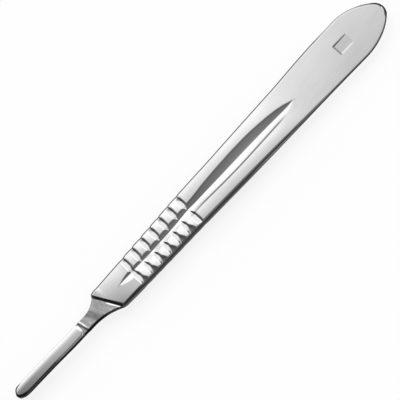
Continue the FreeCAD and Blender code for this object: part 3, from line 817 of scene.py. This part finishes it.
def material_slots(u, count):
    """The material of each face of the mesh, loop by loop."""
    middle = (u[:-1] + u[1:]) / 2
    slots = np.full((len(middle), count), SATIN)
    slots[inside(middle, KEY_REAR, SHOULDER_PLACE), :] = GROUND
    # the ridge's crest and the relief in front of the shoulder take the satin steel: smoother steel, and a
    # brighter colour as a painted highlight
    slots[inside(middle, RIDGE_PLACE, RIDGE_PLACE + RIDGE_HIGHLIGHT_REACH), :UPPER_ROWS] = SATIN
    lower_face = slice(LAND_ROWS + LEFT_WALL_ROWS + RIGHT_WALL_ROWS // 2, UPPER_ROWS)
    slots[inside(middle, SHOULDER_PLACE - RELIEF_HIGHLIGHT_REACH, SHOULDER_PLACE), lower_face] = SATIN
    on_wall = inside(middle, SHOULDER_PLACE, SHOULDER_PLACE + SHOULDER_RUN)
    slots[on_wall, :UPPER_ROWS + TOP_RIM] = SHOULDER
    return slots.reshape(-1)


def ring_faces(loops, count):
    """Quads between neighbouring loops of points."""
    here = np.arange(loops * count).reshape(loops, count)
    following = np.roll(here, -1, axis=1)
    return np.stack([here[:-1], following[:-1], following[1:], here[1:]], -1).reshape(-1, 4)


def close_ends(mesh):
    """Joins the points that meet at both ends and turns all faces outwards."""
    work = bmesh.new()
    work.from_mesh(mesh)
    bmesh.ops.remove_doubles(work, verts=work.verts, dist=JOIN_DISTANCE)
    bmesh.ops.recalc_face_normals(work, faces=work.faces)
    work.to_mesh(mesh)
    work.free()
    mesh.set_sharp_from_angle(angle=SHARP_ANGLE)


def make_handle():
    """The handle's mesh with its materials' slots and the attributes that they read."""
    u = stations()
    points = Section(u).rows()
    loops, count, _ = points.shape
    side = side_share(u, count)
    # the tone attribute carries painted shade, highlights and reflections on the faces and walls
    tone = blend(face_tone(points), side_tone(points), side)
    points[:, :, 1] += smooth_curve(SWAY, points[:, :, 0])
    points += (-LENGTH / 2, 0, HALF_GRIP)

    faces = ring_faces(loops, count)
    mesh = bpy.data.meshes.new("polished_handle")
    mesh.from_pydata((points.reshape(-1, 3) * MM).tolist(), [], faces.tolist())
    for name, values in (("tone", tone), ("side", side)):
        attribute = mesh.attributes.new(name, "FLOAT", "POINT")
        attribute.data.foreach_set("value", values.reshape(-1).astype(np.float32))
    mesh.polygons.foreach_set("material_index", material_slots(u, count))
    mesh.polygons.foreach_set("use_smooth", np.ones(len(faces), bool))
    close_ends(mesh)
    handle = bpy.data.objects.new("polished_handle", mesh)
    bpy.context.scene.collection.objects.link(handle)
    return handle


class Nodes:
    """A node tree under construction."""

    def __init__(self, tree):
        self.tree = tree

    def node(self, kind, **settings):
        made = self.tree.nodes.new(kind)
        for key, value in settings.items():
            setattr(made, key, value)
        return made

    def feed(self, socket, value):
        """Sets a socket to a number, or links it to another node's output."""
        if isinstance(value, bpy.types.NodeSocket):
            self.tree.links.new(value, socket)
        else:
            socket.default_value = value

    def math(self, operation, a, b):
        made = self.node("ShaderNodeMath", operation=operation)
        self.feed(made.inputs[0], a)
        self.feed(made.inputs[1], b)
        return made.outputs[0]

    def spread(self, value, low_in, high_in, low_out, high_out, kind="LINEAR"):
        """Maps a range of values onto another and clamps it."""
        made = self.node("ShaderNodeMapRange", interpolation_type=kind)
        for socket, item in zip(made.inputs, (value, low_in, high_in, low_out, high_out)):
            self.feed(socket, item)
        return made.outputs[0]


class Surface(Nodes):
    """A node material under construction."""

    def __init__(self, name):
        self.material = bpy.data.materials.new(name)
        self.material.use_nodes = True
        super().__init__(self.material.node_tree)
        self.shader = self.tree.nodes["Principled BSDF"]

    def set(self, name, value):
        """Sets or links one of the shader's sockets."""
        self.feed(self.shader.inputs[name], value)

    def attribute(self, name):
        return self.node("ShaderNodeAttribute", attribute_name=name).outputs["Fac"]

    def marks(self, size, turn=0.0, detail=3.0):
        """Noise whose marks have the given size in millimetres, turned about the vertical."""
        place = self.node("ShaderNodeTexCoord")
        mapping = self.node("ShaderNodeMapping", vector_type="TEXTURE")
        self.feed(mapping.inputs["Rotation"], (0, 0, turn))
        self.feed(mapping.inputs["Scale"], [side * MM for side in size])
        self.feed(mapping.inputs["Vector"], place.outputs["Object"])
        noise = self.node("ShaderNodeTexNoise")
        self.feed(noise.inputs["Scale"], 1.0)
        self.feed(noise.inputs["Detail"], detail)
        self.feed(noise.inputs["Vector"], mapping.outputs["Vector"])
        return noise.outputs["Fac"]

    def bump(self, height, depth, below=None):
        """Turns a height pattern of the given depth in millimetres into a normal."""
        made = self.node("ShaderNodeBump")
        self.feed(made.inputs["Distance"], depth * MM)
        self.feed(made.inputs["Height"], height)
        if below is not None:
            self.feed(made.inputs["Normal"], below)
        return made.outputs["Normal"]

    def metal(self, color, share):
        """Makes it a metal of the given colour, scaled by a pattern."""
        self.set("Metallic", 1.0)
        made = self.node("ShaderNodeVectorMath", operation="SCALE")
        self.feed(made.inputs[0], color)
        self.feed(made.inputs["Scale"], share)
        self.set("Base Color", made.outputs["Vector"])

    def dark_edges(self, side):
        """Takes the shine at grazing angles off the side walls, which paints shade on them."""
        self.set("Specular Tint", self.math("SUBTRACT", 1.0, self.math("MULTIPLY", side, SIDE_GRAZING_SHADE)))


def satin_steel():
    """Polished steel with fine brushing along the handle, soft waves and thin scratches. Its colour carries
    the painted shade and highlights of the tone attribute, and its side walls are rougher and take painted
    shade.
    """
    steel = Surface("satin_steel")
    tone, side = steel.attribute("tone"), steel.attribute("side")
    brushing = steel.marks(size=(9, 0.12, 0.12), detail=4)
    waves = steel.marks(size=(5, 2.2, 2.2))
    clouds = steel.marks(size=(14, 5, 5))
    fine_marks = steel.marks(size=(7, 0.07, 0.07), turn=SCRATCH_ANGLE, detail=1)
    scratch = steel.spread(fine_marks, 0.7, 0.76, 0, 1)
    cloudy = steel.spread(clouds, 0.3, 0.7, 0.97, 1.03)
    brushed = steel.spread(brushing, 0.3, 0.7, 0.96, 1.03)
    scratched = steel.spread(scratch, 0, 1, 1, 0.88)
    pattern = steel.math("MULTIPLY", steel.math("MULTIPLY", cloudy, brushed), scratched)
    steel.metal(SATIN_COLOR, steel.math("MULTIPLY", tone, pattern))
    steel.dark_edges(side)
    gloss = steel.spread(brushing, 0.3, 0.7, 0.13, 0.21)
    duller = steel.math("ADD", gloss, steel.math("MULTIPLY", side, SIDE_DULLING))
    steel.set("Roughness", steel.math("ADD", duller, steel.math("MULTIPLY", scratch, 0.1)))
    steel.set("Normal", steel.bump(brushing, 0.0004, steel.bump(waves, 0.004)))
    return steel.material


def ground_steel():
    """Matt steel of the neck with grinding marks along the shoulder's slant. Its colour carries the painted
    shade and highlight of the tone attribute.
    """
    steel = Surface("ground_steel")
    tone, side = steel.attribute("tone"), steel.attribute("side")
    grinding = steel.marks(size=(0.4, 2.4, 2.4), turn=SLANT_ANGLE, detail=4)
    clouds = steel.marks(size=(1.3, 1.0, 1.0))
    ground = steel.spread(grinding, 0.34, 0.66, 0.72, 1.2)
    cloudy = steel.spread(clouds, 0.32, 0.68, 0.84, 1.12)
    steel.metal(GROUND_COLOR, steel.math("MULTIPLY", tone, steel.math("MULTIPLY", ground, cloudy)))
    steel.dark_edges(side)
    steel.set("Roughness", steel.spread(grinding, 0.3, 0.7, 0.38, 0.55))
    steel.set("Normal", steel.bump(grinding, 0.004))
    return steel.material


def shoulder_painted_shade():
    """Near-black steel of the shoulder's wall: the near black is painted shade."""
    steel = Surface("shoulder_painted_shade")
    marks = steel.marks(size=(0.15, 0.6, 0.3), turn=SLANT_ANGLE)
    steel.metal(SHOULDER_SHADE_COLOR, steel.spread(marks, 0.3, 0.7, 0.7, 1.4))
    steel.set("Roughness", 0.35)
    return steel.material


def make_floor():
    """A white table that shows bright to the camera and in the steel, and keeps the handle's shadow."""
    bpy.ops.mesh.primitive_plane_add(size=FLOOR_SIZE)
    floor = bpy.context.object
    floor.name = "table"
    table = Surface("white_table")
    table.set("Base Color", FLOOR_COLOR)
    table.set("Roughness", 1.0)
    table.set("Specular IOR Level", 0.0)
    table.set("Emission Color", WHITE)
    path = table.node("ShaderNodeLightPath")
    seen = table.math("ADD", path.outputs["Is Camera Ray"], path.outputs["Is Glossy Ray"])
    seen = table.math("ADD", seen, path.outputs["Is Transmission Ray"])
    table.set("Emission Strength", table.math("MULTIPLY", seen, FLOOR_GLOW))
    floor.data.materials.append(table.material)


class StudioLight(Nodes):
    """A soft studio light, made of brightness that depends on the direction alone."""

    def __init__(self):
        world = bpy.data.worlds.new("studio")
        bpy.context.scene.world = world
        world.use_nodes = True
        super().__init__(world.node_tree)
        self.direction = self.node("ShaderNodeTexCoord").outputs["Generated"]

    def towards(self, side):
        """How far a direction points to the given side."""
        made = self.node("ShaderNodeVectorMath", operation="DOT_PRODUCT")
        self.feed(made.inputs[0], self.direction)
        self.feed(made.inputs[1], side)
        return made.outputs["Value"]

    def ramp(self, value, places, levels):
        """Brightness that runs through the given levels."""
        made = self.node("ShaderNodeValToRGB")
        while len(made.color_ramp.elements) < len(places):
            made.color_ramp.elements.new(0.5)
        for element, place, level in zip(made.color_ramp.elements, places, levels):
            element.position = place
            element.color = (level, level, level, 1)
        self.feed(made.inputs["Fac"], value)
        return made.outputs["Color"]


def light_world():
    """Bright from the upper end of the picture, dim from its lower end, and less bright near the horizon."""
    light = StudioLight()
    places, levels = LIGHT
    share = light.spread(light.towards(LIGHT_SIDE), -1, 1, 0, 1)
    front = light.ramp(share, [(place + 1) / 2 for place in places], levels)
    back = light.spread(light.towards(BACK_SIDE), BACK_START, BACK_FULL, 0, BACK_VALUE, "SMOOTHSTEP")
    height = light.towards((0, 0, 1))
    dimmest = HORIZON_SHARE * LIGHT_STRENGTH
    level = light.spread(height, 0, HORIZON_HEIGHT, dimmest, LIGHT_STRENGTH, "SMOOTHSTEP")
    strength = light.math("MULTIPLY", level, light.math("ADD", front, back))
    background = light.tree.nodes["Background"]
    light.feed(background.inputs["Color"], WHITE)
    light.feed(background.inputs["Strength"], strength)


def aim_camera():
    """Looks down on the handle, rolled towards its lower side, with its length rising to the upper right."""
    along = Vector((1, 0, 0))
    across = Vector((0, math.cos(CAMERA_LEAN), math.sin(CAMERA_LEAN)))
    back = Vector((0, -math.sin(CAMERA_LEAN), math.cos(CAMERA_LEAN)))
    right = along * math.cos(CAMERA_TURN) - across * math.sin(CAMERA_TURN)
    up = along * math.sin(CAMERA_TURN) + across * math.cos(CAMERA_TURN)
    pixel = MM / PIXELS_PER_MM
    off_right = (PICTURE_PIXELS / 2 - CENTRE_PIXEL[0]) * pixel
    off_up = (CENTRE_PIXEL[1] - PICTURE_PIXELS / 2) * pixel
    target = Vector((0, 0, HALF_GRIP * MM)) + right * off_right + up * off_up
    data = bpy.data.cameras.new("camera")
    data.sensor_width = SENSOR_WIDTH
    data.lens = SENSOR_WIDTH * CAMERA_DISTANCE / (PICTURE_PIXELS * pixel)
    data.clip_start = CAMERA_NEAR
    camera = bpy.data.objects.new("camera", data)
    bpy.context.scene.collection.objects.link(camera)
    rotation = Matrix((right, up, back)).transposed()
    camera.matrix_world = Matrix.Translation(target + back * CAMERA_DISTANCE) @ rotation.to_4x4()
    bpy.context.scene.camera = camera


handle = make_handle()
for material in (satin_steel(), ground_steel(), shoulder_painted_shade()):
    handle.data.materials.append(material)
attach(handle, "root")
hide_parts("handle")

make_floor()
light_world()
aim_camera()
bpy.context.scene.view_settings.view_transform = "Standard"
